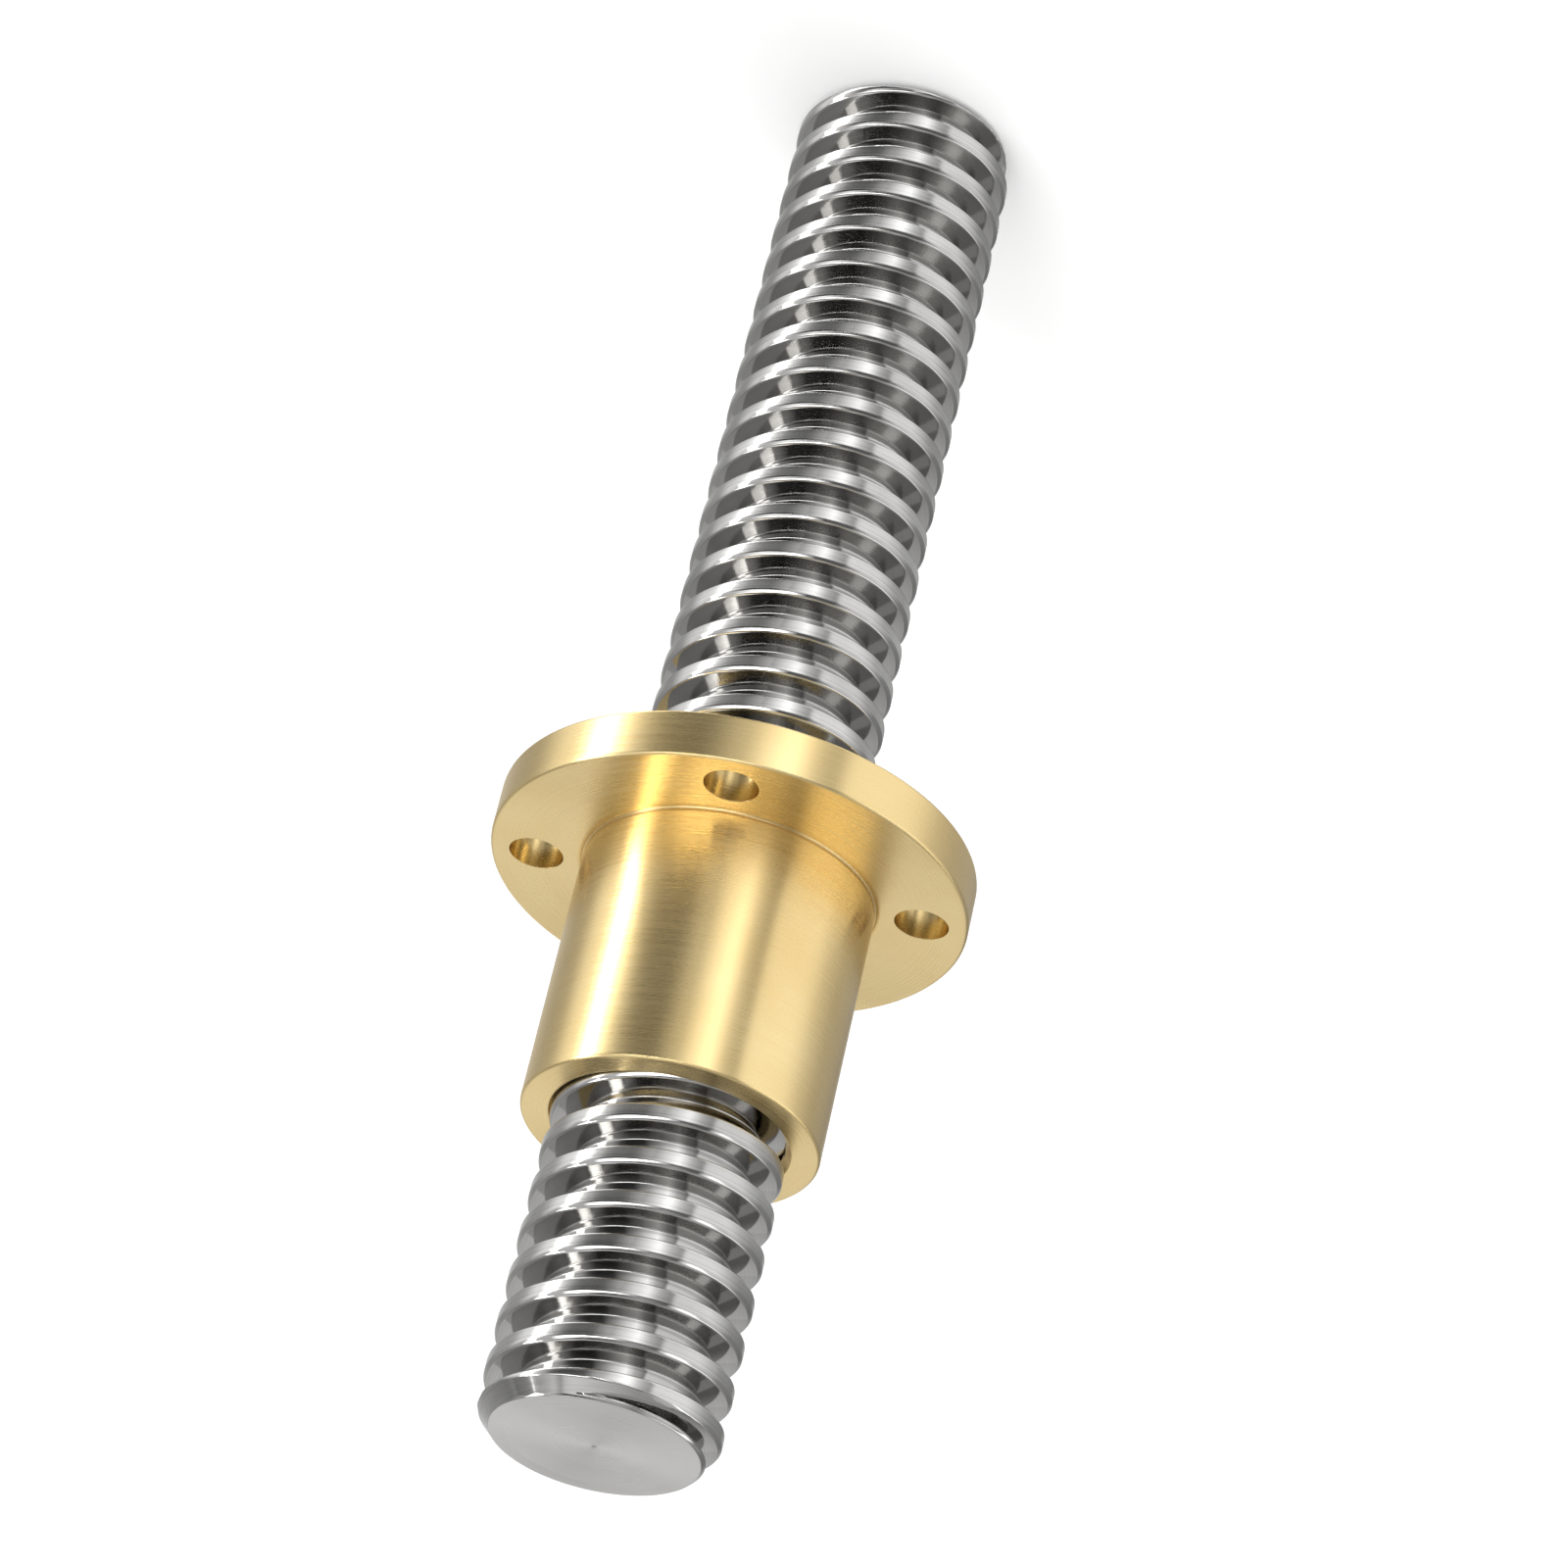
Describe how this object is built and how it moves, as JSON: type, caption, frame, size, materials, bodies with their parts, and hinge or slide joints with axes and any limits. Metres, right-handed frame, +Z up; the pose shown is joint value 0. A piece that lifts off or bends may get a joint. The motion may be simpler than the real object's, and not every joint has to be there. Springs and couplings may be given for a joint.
{
  "type": "lead screw with flanged nut",
  "caption": "Upright trapezoidal lead screw in bright steel, carrying a turned brass nut with a long sleeve and a thin round bolting flange.",
  "frame": {"origin": "centre of the screw's lower end face, on which the screw stands", "axes": "+Z up along the screw's axis, towards the nut's sleeve; +X through one bolt hole of the flange"},
  "size_m": [0.062, 0.062, 0.2005],
  "materials": {
    "steel": "rolled and polished, with turned end faces",
    "brass": "satin, fine turned"
  },
  "bodies": {
    "screw": {"lead_screw": "steel"},
    "nut": {"flanged_nut": "brass"}
  },
  "joints": [
    {"name": "nut_travel", "type": "slide", "parent": "screw", "child": "nut", "axis": [0, 0, 1], "range_m": [-0.108, 0.036]}
  ]
}
